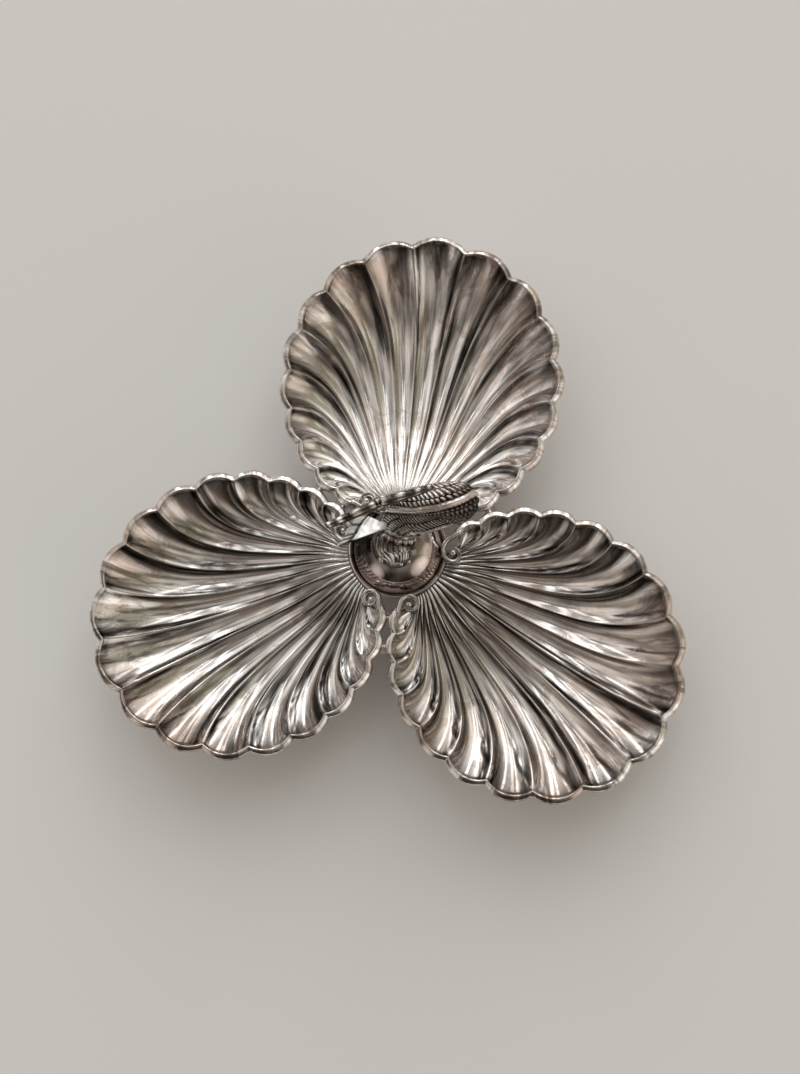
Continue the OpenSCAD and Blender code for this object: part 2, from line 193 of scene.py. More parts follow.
def silver(name, bright, toned, tarnish_and_shade, rough, wear, fluted=False):
    """Silver plate: toned clouds, stains and painted shade set per vertex, a polished and a hazy gloss,
    fine wear.

    Where fluted, it also has smears, dark lines and tarnish that run along the flutes."""
    mat, tree, shader = material(name)
    link = tree.links.new
    place = node(tree, "ShaderNodeTexCoord").outputs["Object"]
    recess = node(tree, "ShaderNodeAttribute", attribute_name="recess").outputs["Fac"]
    cloud = noise(tree, place, CLOUD_SCALE, 6.0, 0.62, 0.5)
    film = noise(tree, place, FILM_SCALE, 3.0, 0.5, 1.5)
    patch = noise(tree, place, PATCH_SCALE, 6.0, 0.7)
    grain = noise(tree, place, GRAIN_SCALE, 3.0)
    toning = ramp(tree, cloud, [(0.46, (0.0,)), (0.72, (0.75,))])
    films = ramp(tree, film, [(0.56, (0.0,)), (0.59, (0.45,)), (0.70, (0.65,))])
    toning = math_node(tree, "MAXIMUM", toning, films)
    dents = math_node(tree, "MULTIPLY", patch, 0.12 if fluted else 0.2)
    broken = math_node(tree, "ADD", patch, 0.5)
    if fluted:
        flow = node(tree, "ShaderNodeAttribute", attribute_name="flow").outputs["Vector"]
        smear = noise(tree, stretched(tree, flow, (0, 0, 0), SMEAR_STRETCH), 1.0, 5.0, 0.62)
        drawn = noise(tree, stretched(tree, flow, (0, 0, 0), DRAWN_STRETCH), 1.0, 2.0, 0.5)
        smears = ramp(tree, smear, [(0.53, (0.0,)), (0.63, (0.75,))])
        toning = math_node(tree, "MAXIMUM", toning, smears)
        run = node(tree, "ShaderNodeSeparateXYZ")
        link(flow, run.inputs[0])
        share = math_node(tree, "DIVIDE", run.outputs[1], FLUTE_RUN)
        outer = ramp(tree, share, [(0.5, (0.0,)), (0.85, (0.7,))])
        browned = ramp(tree, math_node(tree, "ADD", cloud, math_node(tree, "MULTIPLY", smear, 0.4)),
                       [(0.6, (0.0,)), (0.72, (1.0,))])
        toning = math_node(tree, "MAXIMUM", toning, math_node(tree, "MULTIPLY", outer, browned))
        brightened = ramp(tree, share, [(0.12, (0.3,)), (0.38, (1.0,))])
        toning = math_node(tree, "MULTIPLY", toning, brightened)
        dents = math_node(tree, "ADD", dents, math_node(tree, "MULTIPLY", drawn, 0.15))
        lines = ramp(tree, drawn, [(0.62, (0.0,)), (0.70, (0.35,))])
        recess = math_node(tree, "MAXIMUM", recess, lines)
        broken = ramp(tree, smear, [(0.38, (0.5,)), (0.48, (0.9,)), (0.58, (1.0,))])
    tone = mix(tree, toning, bright, toned)
    if fluted:
        patches = noise(tree, stretched(tree, flow, (0, 0, 0), TARNISH_STRETCH), 1.0, 5.0, 0.62, 0.6)
        patches = ramp(tree, patches, [(0.5, (0.0,)), (0.56, (0.7,)), (0.66, (1.0,))])
        spread = math_node(tree, "ADD", math_node(tree, "MULTIPLY", outer, 0.8), 0.3)
        tarnish = math_node(tree, "MULTIPLY", patches, spread)
        tarnish.node.use_clamp = True
        tone = mix(tree, tarnish, tone, tuple(TARNISH_SHARE * c for c in toned))
    # Where a piece asks for it per vertex, the tone darkens to the dark colour: real stain in hollows,
    # and painted shade
    deep = math_node(tree, "MULTIPLY", recess, broken)
    deep.node.use_clamp = True
    tone = mix(tree, deep, tone, tarnish_and_shade)
    cuts = []
    for turn, scale in SCRATCHES:
        long = stretched(tree, place, (0.3, 0.2, turn), (1.0, 0.03, 0.3))
        cuts.append(ramp(tree, noise(tree, long, scale, 2.0, 0.5), [(0.67, (0.0,)), (0.74, (0.8,))]))
    cut = math_node(tree, "MAXIMUM", *cuts)
    height = math_node(tree, "MULTIPLY", cut, -wear)
    height = math_node(tree, "ADD", height, math_node(tree, "MULTIPLY", grain, 0.3 * wear))
    relief = node(tree, "ShaderNodeBump", Strength=RELIEF_STRENGTH, Distance=RELIEF_DEPTH)
    link(math_node(tree, "ADD", height, dents), relief.inputs["Height"])
    dull = math_node(tree, "MULTIPLY", patch, rough * PATCHY_ROUGH)
    dull = math_node(tree, "ADD", dull, rough * LEAST_ROUGH)
    haze = tree.nodes.new("ShaderNodeBsdfPrincipled")
    for gloss, extra in ((shader, 0.0), (haze, HAZE_ROUGH)):
        link(tone, gloss.inputs["Base Color"])
        link(relief.outputs[0], gloss.inputs["Normal"])
        link(math_node(tree, "ADD", dull, extra), gloss.inputs["Roughness"])
        gloss.inputs["Metallic"].default_value = 1.0
    hazy = math_node(tree, "MULTIPLY", toning, TONED_HAZE)
    hazy = math_node(tree, "ADD", hazy, LEAST_HAZE)
    blend = tree.nodes.new("ShaderNodeMixShader")
    link(hazy, blend.inputs[0])
    link(shader.outputs[0], blend.inputs[1])
    link(haze.outputs[0], blend.inputs[2])
    link(blend.outputs[0], tree.nodes["Material Output"].inputs["Surface"])
    return mat


BOWL = silver("bowl_silver", (0.97, 0.945, 0.915), (0.58, 0.43, 0.345), (0.018, 0.0125, 0.0095),
              rough=0.12, wear=0.3, fluted=True)
# The hub's silver is a darker copy of the bowls' silver: painted shade on the dome, ring, spool, plate
# and feet
HUB = silver("hub_silver", (0.74, 0.64, 0.60), (0.14, 0.102, 0.089), (0.010, 0.0074, 0.0066),
             rough=0.07, wear=0.3)
HANDLE = silver("handle_silver", (0.96, 0.92, 0.885), (0.42, 0.265, 0.195), (0.018, 0.0085, 0.0055),
                rough=0.09, wear=0.8)
# The fins' silver is a darker copy of the silver: painted shade that dims their reflections
BLADE = silver("blade_silver", (0.70, 0.69, 0.675), (0.42, 0.385, 0.355), (0.018, 0.0135, 0.0105),
               rough=0.30, wear=0.8)
SOLDER = silver("solder", (0.88, 0.85, 0.81), (0.66, 0.60, 0.54), (0.1, 0.075, 0.055),
                rough=0.18, wear=0.8)
BRASS = silver("brass", (0.78, 0.62, 0.33), (0.62, 0.46, 0.22), (0.22, 0.15, 0.07),
               rough=0.25, wear=0.8)


# Mesh building
class Build:
    """Collects vertices in millimetres, faces, and a value of stain and painted shade and a flow place
    per vertex.
    """

    def __init__(self):
        self.verts, self.faces, self.recess, self.flow, self.n = [], [], [], [], 0

    def add(self, verts, faces, recess=0.0, flow=None):
        verts = np.asarray(verts, float).reshape(-1, 3)
        self.verts.append(verts)
        self.flow.append(verts if flow is None else np.asarray(flow, float).reshape(-1, 3))
        self.faces += [[i + self.n for i in f] for f in faces]
        self.recess.append(np.broadcast_to(np.asarray(recess, float).ravel(), (len(verts),)))
        self.n += len(verts)

    def done(self, name, mat, stands_for=(), sharp=50.0):
        """Makes the piece, which rides on the one body and stands for the given CAD nodes."""
        verts = np.concatenate(self.verts) / MM_PER_M
        mesh = bpy.data.meshes.new(name)
        mesh.from_pydata(verts.tolist(), [], self.faces)
        layer = mesh.attributes.new("recess", "FLOAT", "POINT")
        layer.data.foreach_set("value", np.concatenate(self.recess).astype(np.float32))
        layer = mesh.attributes.new("flow", "FLOAT_VECTOR", "POINT")
        layer.data.foreach_set("vector", np.concatenate(self.flow).astype(np.float32).ravel())
        bm = bmesh.new()
        bm.from_mesh(mesh)
        bmesh.ops.recalc_face_normals(bm, faces=bm.faces)
        bm.to_mesh(mesh)
        bm.free()
        mesh.polygons.foreach_set("use_smooth", [True] * len(mesh.polygons))
        mesh.set_sharp_from_angle(angle=math.radians(sharp))
        mesh.materials.append(mat)
        obj = bpy.data.objects.new(name, mesh)
        bpy.context.collection.objects.link(obj)
        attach(obj, "root")
        if stands_for:
            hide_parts(*stands_for)


def grid_faces(nu, nv, wrap_u=False, wrap_v=False):
    """Faces of a grid of nu by nv vertices, closed round either way where asked."""
    faces = []
    for i in range(nu if wrap_u else nu - 1):
        a, b = i * nv, (i + 1) % nu * nv
        for j in range(nv if wrap_v else nv - 1):
            k = (j + 1) % nv
            faces.append((a + j, b + j, b + k, a + k))
    return faces


def closed_tube(rings):
    """Faces of a row of closed rings with both ends capped."""
    nu, nv = rings.shape[:2]
    faces = grid_faces(nu, nv, wrap_v=True)
    faces.append(tuple(range(nv)))
    faces.append(tuple(range((nu - 1) * nv, nu * nv)))
    return faces


def frames(path):
    """Headings and two cross directions along a path, carried without twist."""
    path = np.asarray(path, float)
    heading = unit(np.gradient(path, axis=0))
    side = np.zeros_like(path)
    s = np.array([1.0, 0, 0]) if abs(heading[0][0]) < 0.9 else np.array([0, 1.0, 0])
    for i, h in enumerate(heading):
        s = unit(s - s.dot(h) * h)
        side[i] = s
    return heading, side, np.cross(side, heading)


def tube(path, radius, sides=14, flat=1.0):
    """A tube along a path with a round nose at each end."""
    path = np.asarray(path, float)
    radius = np.broadcast_to(np.asarray(radius, float), (len(path),))
    heading, s, u = frames(path)
    nose = np.array([0.06, 0.3, 0.6, 0.85])
    n = len(nose)
    back = -np.sqrt(1 - nose**2)
    pts = np.concatenate([path[:1] + heading[:1] * radius[0] * b for b in back] + [path]
                         + [path[-1:] - heading[-1:] * radius[-1] * b for b in back[::-1]])
    r = np.concatenate([nose * radius[0], radius, nose[::-1] * radius[-1]])
    s = np.concatenate([s[:1]] * n + [s] + [s[-1:]] * n)
    u = np.concatenate([u[:1]] * n + [u] + [u[-1:]] * n)
    q = np.arange(sides) * 360 / sides
    rings = (pts[:, None] + s[:, None] * (cosd(q)[:, None] * r[:, None, None])
             + u[:, None] * (sind(q)[:, None] * r[:, None, None] * flat))
    return rings, closed_tube(rings)


def blob(centre, axes, nu=9, nv=16):
    """An ellipsoid with the given three half axes."""
    centre, axes = np.asarray(centre, float), np.asarray(axes, float)
    a = np.linspace(-86, 86, nu)
    q = np.arange(nv) * 360 / nv
    rings = (centre + cosd(a)[:, None, None] * (cosd(q)[:, None] * axes[0] + sind(q)[:, None] * axes[1])
             + sind(a)[:, None, None] * axes[2])
    return rings, closed_tube(rings)


def rounded(points, radius, steps=5):
    """A closed outline with its corners rounded."""
    pts, out = [np.asarray(p, float) for p in points], []
    for i, p in enumerate(pts):
        a, b = pts[i - 1], pts[(i + 1) % len(pts)]
        r = min(radius, np.linalg.norm(a - p) * 0.45, np.linalg.norm(b - p) * 0.45)
        a, b = p + unit(a - p) * r, p + unit(b - p) * r
        for t in np.linspace(0, 1, steps):
            out.append((1 - t) ** 2 * a + 2 * t * (1 - t) * p + t * t * b)
    return np.array(out)


def lathe(profile, centre, sides=128):
    """A closed profile of (radius, height) turned about a vertical axis."""
    profile = np.asarray(profile, float)
    q = np.arange(sides) * 360 / sides
    verts = np.stack([centre[0] + cosd(q)[:, None] * profile[:, 0],
                      centre[1] + sind(q)[:, None] * profile[:, 0],
                      np.broadcast_to(profile[:, 1], (sides, len(profile)))], -1)
    return verts, grid_faces(sides, len(profile), wrap_u=True, wrap_v=True)


def solid_lathe(profile, centre, sides=96):
    """A profile of (radius, height) that starts and ends on the axis."""
    profile = np.asarray(profile, float)
    q = np.arange(sides) * 360 / sides
    body = profile[1:-1]
    rings = np.stack([centre[0] + body[:, :1] * cosd(q), centre[1] + body[:, :1] * sind(q),
                      np.broadcast_to(body[:, 1:], (len(body), sides))], -1)
    return rings, closed_tube(rings)


# Shells
FIRST_FLUTE = FAN_ANGLE / (SIDE_FLUTES + 0.5 - FLUTE_SHRINK * SIDE_FLUTES * (SIDE_FLUTES + 1) / 2)


def notch(k):
    """Angle on the oval of the notch after lobe k, counted from the far end of a shell."""
    return RIM_END if k > SIDE_FLUTES else FIRST_FLUTE * (k + 0.5 - FLUTE_SHRINK * k * (k + 1) / 2)


def oval(q):
    return np.stack([BOWL_L / 2 * cosd(q), BOWL_W / 2 * sind(q)], -1)


def out_dir(q):
    return unit(np.stack([cosd(q) / BOWL_L, sind(q) / BOWL_W], -1))


SIDE_LOBES = [(notch(k - 1), notch(k)) for k in range(1, SIDE_FLUTES + 2)]
LOBES = [(-b, -a) for a, b in SIDE_LOBES[::-1]] + [(-notch(0), notch(0))] + SIDE_LOBES


def columns(shares):
    """Angle, share across the lobe, lobe width and lobe number of each column of a shell."""
    out = []
    for n, (a, b) in enumerate(LOBES):
        width = np.linalg.norm(oval(b) - oval(a))
        out += [(a + (b - a) * t, t, width, n) for t in shares]
    out.append((LOBES[-1][1], 1.0, width, n))
    return np.array(out).T


QUARTERS = (0, 0.25, 0.5, 0.75)
FINE = (0, 0.025, 0.06, 0.105, 0.17, 0.26, 0.37, 0.5, 0.63, 0.74, 0.83, 0.895, 0.94, 0.975)


def hump(t, round_off=0.0):
    """An arch across a lobe, its feet rounded off where asked."""
    h = 4 * t * (1 - t)
    return (np.sqrt(h * h + round_off**2) - round_off) / (np.sqrt(1 + round_off**2) - round_off)


def rim_offset(col, w, round_off=0.0):
    q, t, width = col[:3]
    return oval(q) + out_dir(q) * (w + LOBE_SWELL * width * hump(t, round_off))[:, None]


def reach():
    """Distance of the bowls from the axis at which neighbouring lips keep their gap."""
    p = rim_offset(columns(QUARTERS), np.full(len(LOBES) * 4 + 1, LIP_W))
    return np.max((SHELL_GAP / 2 + p[:, 1] * cosd(HALF_TURN)) / sind(HALF_TURN) - p[:, 0])


BOWL_REACH = reach()


def turned(p, q):
    p = np.asarray(p, float)
    out = p.copy()
    out[..., 0] = p[..., 0] * cosd(q) - p[..., 1] * sind(q)
    out[..., 1] = p[..., 0] * sind(q) + p[..., 1] * cosd(q)
    return out


def rim_point(col, w, round_off=0.0):
    return np.array([BOWL_REACH, 0]) + rim_offset(col, np.full(col.shape[1], float(w)), round_off)


EDGE = rim_point(columns(QUARTERS), LIP_W)
BACK_EDGE, FRONT_EDGE = turned(EDGE, SHELL_TURN["back"]), turned(EDGE, SHELL_TURN["left"])
AXIS_Y = -(BACK_EDGE[:, 1].max() + FRONT_EDGE[:, 1].min()) / 2
HUB_XY = (0.0, AXIS_Y)


def on_hub(verts, turn=0.0):
    return turned(verts, turn) + np.array([0, AXIS_Y, 0])


def bowl_share(p):
    return np.hypot((p[..., 0] - BOWL_REACH) / BOWL_L, p[..., 1] / BOWL_W) * 2


def bowl_surface(col, ts, round_off):
    """Upper surface of a shell, a point for each column and share of its run, softest halfway."""
    q, across, width, _ = col
    a = TONGUE_ANGLE * q / RIM_END
    h = HINGE_R * np.stack([cosd(a), sind(a)], -1)
    r = rim_point(col, 0, round_off)
    pull = np.linalg.norm(r - h, axis=1, keepdims=True) / 3
    b = FAN_START * q / RIM_END
    ctrl = [h, h + pull * np.stack([cosd(b), sind(b)], -1), r - pull * out_dir(q), r]
    t = ts[None, :, None]
    p = ((1 - t) ** 3 * ctrl[0][:, None] + 3 * t * (1 - t) ** 2 * ctrl[1][:, None]
         + 3 * t * t * (1 - t) * ctrl[2][:, None] + t**3 * ctrl[3][:, None])
    share = bowl_share(p) / bowl_share(r)[:, None]
    floor = RIM_Z - BOWL_D * (1 - share**WALL_POWER)
    soft = bump(ts, SOFT_MID, SOFT_HALF)
    arch = hump(across[:, None], round_off + SOFT_ROUND * soft)
    scoop = FLUTE_SCOOP * width[:, None] * arch * (1 - SOFT_FLAT * soft)
    scoop = scoop * (0.3 + 0.7 * ts) * (1 - ts**6)
    k = 0.5 * ease(ts / HINGE_BLEND) + 0.5 * (1 - np.clip(1 - ts / HINGE_FADE, 0, 1) ** HINGE_BEND)
    z = HUB_Z * (1 - k) + floor * k - scoop * (0.5 * ease(ts / 0.06) + 0.5 * ease((ts - 0.05) / 0.5))
    return np.concatenate([p, z[..., None]], -1)


SEED = 7
RNG = np.random.default_rng(SEED)
# Stain and painted shade by the hub, the share of the run that it covers, and stain and painted dark
# reflection on the flanks of the flutes
SHELL_STAIN_AND_SHADE = {"back": (0.35, 0.2, 1.5), "left": (0.9, 0.42, 2.0), "right": (1.1, 0.46, 1.65)}
# Ranges of a flank's stain and painted dark reflection: its depth, its place and half length along the
# run, its half width
FLANK_RANGES = ((0.2, 1.3), (0.5, 0.85), (0.1, 0.28), (0.035, 0.14))
# Across the lip, outwards from the bowl and up from the rim
LIP_PROFILE = [(0.18, 0.3), (0.38, 0.54), (0.62, 0.66), (0.9, 0.6), (1.2, 0.42), (1.7, 0.08),
               (2.2, -0.27), (2.6, -0.6), (2.95, -1.1), (3.12, -1.7), (3.2, -2.4), (3.2, -3.3),
               (3.08, -3.8), (2.8, -4.0), (2.3, -4.0), (2.05, -3.75), (1.95, -3.2), (1.5, -2.3)]
LIP_TOP_STEPS = 8


def shell_piece(side, turn):
    """One bowl: tongue, fluted sheet, turned-down lip and underside, as one closed skin."""
    col = columns(FINE)
    ts = np.concatenate([np.linspace(0, 0.9, 44), np.linspace(0.9, 1, 9)[1:]])
    top = bowl_surface(col, ts, RIDGE_ROUND)
    rows = len(ts)
    under = top.copy()
    under[..., 2] = np.maximum(top[..., 2] - SHEET, FOOT_H)
    a = TONGUE_ANGLE * col[0] / RIM_END
    tongue = np.stack([TONGUE_R * cosd(a), TONGUE_R * sind(a), np.full(len(a), HUB_Z)], -1)
    lip = [np.column_stack([rim_point(col, w, LIP_ROUND), np.full(len(a), RIM_Z + dz)])
           for w, dz in LIP_PROFILE]
    section = np.concatenate([tongue[:, None], top, np.stack(lip, 1), under[:, -2::-1],
                              (tongue - [0, 0, SHEET])[:, None]], 1)
    n = section.shape[1]
    faces = grid_faces(len(a), n, wrap_v=True)
    for base in (0, (len(a) - 1) * n):
        faces += [tuple(base + i for i in (j, j + 1, n - 2 - j, n - 1 - j)) for j in range(rows)]
        faces.append(tuple(base + j for j in range(rows, n - rows)))
    _, across, width, lobe = col
    from_ridge = np.minimum(across, 1 - across)[:, None]
    flank = 2 * lobe.astype(int) + (across > 0.5)
    shade, mid, half, spread = (RNG.uniform(low, high, 2 * len(LOBES))[flank][:, None]
                                for low, high in FLANK_RANGES)
    recess = np.zeros(section.shape[:2])
    tarnish_and_shade, run, flanks = SHELL_STAIN_AND_SHADE[side]
    # Dark bands along one flank of each ridge: partly tarnish, partly a painted dark reflection
    beside = flanks * bump(from_ridge, 0.03 + spread, spread) * shade
    beside = beside * (0.45 + 0.75 * bump(ts, mid, half))
    # Towards the hub: painted shade round the dome, partly stain
    near_hub = tarnish_and_shade * np.clip(1 - ts / run, 0, 1) * (0.25 + 0.75 * ease(from_ridge / 0.2))
    at_rim = 0.3 * bump(ts, 0.99, 0.012) + 0.1 * ease((ts - 0.75) / 0.2)
    recess[:, 1:rows + 1] = np.clip(beside + near_hub + at_rim, 0, 1)
    fold = bump(from_ridge[:, 0], 0, 0.04)
    for j in range(len(LIP_PROFILE)):
        recess[:, rows + 1 + j] = 0.3 * fold if j < LIP_TOP_STEPS else 0.25
    step = np.linalg.norm(np.diff(section, axis=1), axis=2)
    along = np.concatenate([np.zeros((len(a), 1)), np.cumsum(step, 1)], 1)
    wide = np.broadcast_to(((lobe + across) * width.mean())[:, None], along.shape)
    flow = np.stack([wide + turn, along, np.full(along.shape, turn)], -1)
    b = Build()
    b.add(on_hub(section, turn), faces, recess, flow)
    b.done(side + "_fluted_bowl", BOWL, [side + "_shell"], sharp=62.0)


for side, turn in SHELL_TURN.items():
    shell_piece(side, turn)

# Hub
CAP_MID = (DOME_H**2 + PEDESTAL_R**2 - DOME_R**2) / (2 * DOME_H)
CAP_R = math.hypot(DOME_R, CAP_MID)


def cap_arc(r, low, high, steps):
    """Part of the dome's section, a circle of radius r about its own middle."""
    z = np.linspace(low, high, steps)
    return np.stack([np.sqrt(np.maximum(r * r - (z - CAP_MID) ** 2, 0)), z], -1)


b = Build()
outer = cap_arc(CAP_R, 0, DOME_H, 40)
inner_top = CAP_MID + math.sqrt((CAP_R - DOME_T) ** 2 - STUD_HOLE_R**2)
inner = cap_arc(CAP_R - DOME_T, 0, inner_top, 24)[::-1]
profile = np.concatenate([outer, [[STUD_HOLE_R, DOME_H]], inner]) + [0, DOME_Z]
verts, faces = lathe(profile, HUB_XY)
# Painted shade and a painted dark reflection of the dolphin on the dome: on its back left under the fin
# and round its crown under the head
back_left = (verts[..., 1] - AXIS_Y - verts[..., 0]) / (DOME_R * math.sqrt(2))
crown = (verts[..., 2] - DOME_Z) / DOME_H
under_fin, under_head = 0.9 * ease((back_left + 0.15) / 0.6), 0.5 * ease((crown - 0.65) / 0.3)
b.add(verts, faces, np.clip(under_fin + under_head, 0, 1))
b.done("polished_dome", HUB, ["dome"], sharp=35)

b = Build()
bead_r = (COLLAR_R - DOME_R) / 2 - 0.15
q = np.linspace(-90, 180, 28)
bead = np.column_stack([COLLAR_R - bead_r + bead_r * cosd(q),
                        COLLAR_T - bead_r * 0.55 + bead_r * sind(q)])
bead[:, 1] = np.maximum(bead[:, 1], 0)
seat = [[DOME_R, COLLAR_T - bead_r * 0.6], [COLLAR_HOLE_R, COLLAR_T]]
profile = np.concatenate([[[COLLAR_HOLE_R, 0]], bead, seat])
groove = bump(profile[:, 0], DOME_R, 0.5) + bump(profile[:, 0], COLLAR_R, 0.12)
verts, faces = lathe(profile + [0, HUB_Z], HUB_XY)
b.add(verts, faces, np.broadcast_to(np.clip(groove, 0, 1), verts.shape[:2]))
b.done("dome_ring", HUB, ["dome_collar"])

b = Build()
spool = [(STUD_HOLE_R, 0), (PEDESTAL_R, 0), (PEDESTAL_R, PEDESTAL_H * 0.25),
         (PEDESTAL_HEAD_R - 0.7, PEDESTAL_H * 0.5), (PEDESTAL_HEAD_R, PEDESTAL_H * 0.8),
         (PEDESTAL_HEAD_R, PEDESTAL_H), (STUD_HOLE_R, PEDESTAL_H)]
b.add(*lathe(rounded(spool, 0.5) + [0, PEDESTAL_Z], HUB_XY, 64))
b.done("handle_spool", HUB, ["pedestal"])

b = Build()
plate = [(STUD_HOLE_R, 0), (PLATE_R - 1.2, 0), (PLATE_R, 1.0), (PLATE_R, PLATE_T),
         (STUD_HOLE_R, PLATE_T)]
b.add(*lathe(rounded(plate, 0.3) + [0, PLATE_Z], HUB_XY))
b.done("clamp_plate", HUB, ["hub_plate"])

# Feet
BUN_H = FOOT_H - FOOT_FLANGE_T
CORNER_STEPS = 6
half = [(0, 0), (FOOT_FLAT_R, 0), (FOOT_R * 0.85, BUN_H * 0.15), (FOOT_R, BUN_H * 0.4),
        (FOOT_R * 0.85, BUN_H * 0.68), (FOOT_R * 0.55, BUN_H * 0.85), (FOOT_R * 0.5, BUN_H),
        (FOOT_FLANGE_R, BUN_H), (FOOT_FLANGE_R, FOOT_H), (0, FOOT_H)]
smooth = rounded(half, 1.6, CORNER_STEPS)[CORNER_STEPS:-CORNER_STEPS]
smooth = np.concatenate([[half[0]], smooth, [half[-1]]])
for side, turn in SHELL_TURN.items():
    b = Build()
    b.add(*solid_lathe(smooth, on_hub([BOWL_REACH, 0, 0], turn)))
    b.done(side + "_bun_foot", HUB, [side + "_foot"])


# Scrolls and pleats where each shell meets the hub
def scroll(mirror, opening):
    """A rim end that curls in on itself and closes round a bead."""
    end = np.array([[RIM_END], [1.0], [1.0]])
    start = rim_point(end, LIP_W * 0.42)[0]
    ahead = unit([-BOWL_L * sind(RIM_END), BOWL_W * cosd(RIM_END)])
    inward = np.array([-ahead[1], ahead[0]])
    lead = start + ahead * np.linspace(-2.2, 2.4, 6)[:, None]
    turn = np.linspace(0, 430, 72)
    radius = np.interp(turn, [0, 60, 140, 430], opening)
    way = cosd(turn)[:, None] * ahead + sind(turn)[:, None] * inward
    curl = lead[-1] + np.cumsum(way * (radius * math.radians(turn[1]))[:, None], 0)
    path = np.concatenate([lead, curl])
    z = RIM_Z - SCROLL_DROP - SCROLL_SINK * ease(np.arange(len(path)) / 40)
    path = np.column_stack([path, z])
    width = np.interp(np.arange(len(path)), [0, 8, len(path)], [1.35, 1.25, 0.8])
    mid = curl[-1] + (cosd(turn[-1]) * inward - sind(turn[-1]) * ahead) * radius[-1]
    bead = np.array([*mid, RIM_Z - SCROLL_DROP - SCROLL_SINK])
    flip = np.array([1, -1 if mirror else 1, 1])
    return path * flip, width, bead * flip


SCROLL_DROP, SCROLL_SINK, SCROLL_SIDES = 1.5, 1.9, 16
TIGHT_CURL, WIDE_CURL = (3.8, 3.5, 3.1, 0.9), (7.0, 5.5, 3.2, 0.9)
RIB_START, RIB_END, RIB_SIDES = COLLAR_R + 0.35, 0.26, 12
ridges = columns((0,))[:, 1:-1]
half_pitch = np.radians(np.gradient(TONGUE_ANGLE * ridges[0] / RIM_END)) * HINGE_R / 2
rib_t = np.linspace(0, RIB_END, 15)
rib_tops = bowl_surface(ridges, rib_t, RIB_ROUND)
for side, turn in SHELL_TURN.items():
    b = Build()
    for mirror in (False, True):
        path, width, bead = scroll(mirror, WIDE_CURL if side == "right" and not mirror else TIGHT_CURL)
        rings, faces = tube(path, width, SCROLL_SIDES, flat=2.0)
        b.add(on_hub(rings, turn), faces, np.linspace(0.15, 0.85, len(rings)).repeat(SCROLL_SIDES))
        rings, faces = blob(bead, np.diag([1.75, 1.75, 2.6]), 11, 20)
        b.add(on_hub(rings, turn), faces, 0.2)
    for q, top, half in zip(TONGUE_ANGLE * ridges[0] / RIM_END, rib_tops, half_pitch):
        r = np.linspace(RIB_START, HINGE_R, 3)[:-1, None]
        lead = np.concatenate([r * [cosd(q), sind(q)], np.full((2, 1), HUB_Z)], 1)
        path = np.concatenate([lead, top])
        for _ in range(6):
            path[1:-1] = (path[:-2] + 2 * path[1:-1] + path[2:]) / 4
        run = np.arange(len(path)) / (len(path) - 1)
        radius = np.clip(half, 0.35, 0.95) * (0.62 + 0.3 * bump(run, 0.3, 0.25))
        radius = radius * (1 - 0.65 * ease((run - 0.4) / 0.6))
        path[:, 2] += 0.35 * radius - 0.5 * ease((run - 0.7) / 0.3)
        rings, faces = tube(path, radius, RIB_SIDES, flat=1.25)
        lift = (rings[..., 2] - rings[..., 2].mean(1, keepdims=True)) / radius.max()
        # Painted shade on the lower side of each rib, as deep as the shell's shade by the hub
        b.add(on_hub(rings, turn), faces, SHELL_STAIN_AND_SHADE[side][0] * np.clip(0.5 - 0.9 * lift, 0, 1))
    b.done(side + "_bowl_scrolls", BOWL)

# Bridges of solder between neighbouring lips
PAIRS = {"back_left": "back", "left_right": "left", "right_back": "right"}
STRAP_HALF = 3.2
for pair, side in PAIRS.items():
    for where, k in (("inner", SIDE_FLUTES + 1), ("outer", SIDE_FLUTES)):
        low, high = notch(k - 1), notch(k)
        span = np.linalg.norm(oval(high) - oval(low))
        p = rim_point(np.array([[(low + high) / 2], [0.5], [span]]), LIP_W)[0]
        r = p[0] * cosd(HALF_TURN) + p[1] * sind(HALF_TURN)
        half = p[0] * sind(HALF_TURN) - p[1] * cosd(HALF_TURN) + LIP_W * 0.75
        y = np.linspace(-half, half, 21)
        sag = 1 - (y / half) ** 2
        path = np.column_stack([r - 0.8 * sag, y, RIM_Z - 2.9 - 0.35 * sag])
        rings, faces = tube(path, 1.75 - 0.6 * sag, 18, flat=1.55)
        b = Build()
        b.add(on_hub(rings, SHELL_TURN[side] + HALF_TURN), faces, 0.15)
        inside, outside = r - STRAP_W / 2, r + STRAP_W / 2
        outline = rounded([(inside, -STRAP_HALF), (outside, -STRAP_HALF),
                           (outside, STRAP_HALF), (inside, STRAP_HALF)], 0.8)
        below = np.column_stack([outline, np.full(len(outline), LIP_Z - STRAP_T)])
        rings = np.stack([below, below + [0, 0, STRAP_T]])
        b.add(on_hub(rings, SHELL_TURN[side] + HALF_TURN), closed_tube(rings), 0.3)
        b.done(pair + "_" + where + "_joint", SOLDER, [pair + "_" + where + "_bridge"])

# Fasteners under the hub
WASHER_Z = PLATE_Z - WASHER_T
NUT_Z = WASHER_Z - NUT_H
b = Build()
ring = [(STUD_HOLE_R, 0), (WASHER_D / 2, 0), (WASHER_D / 2, WASHER_T), (STUD_HOLE_R, WASHER_T)]
b.add(*lathe(rounded(ring, 0.25) + [0, WASHER_Z], HUB_XY, 72))
b.done("brass_washer", BRASS, ["washer"])

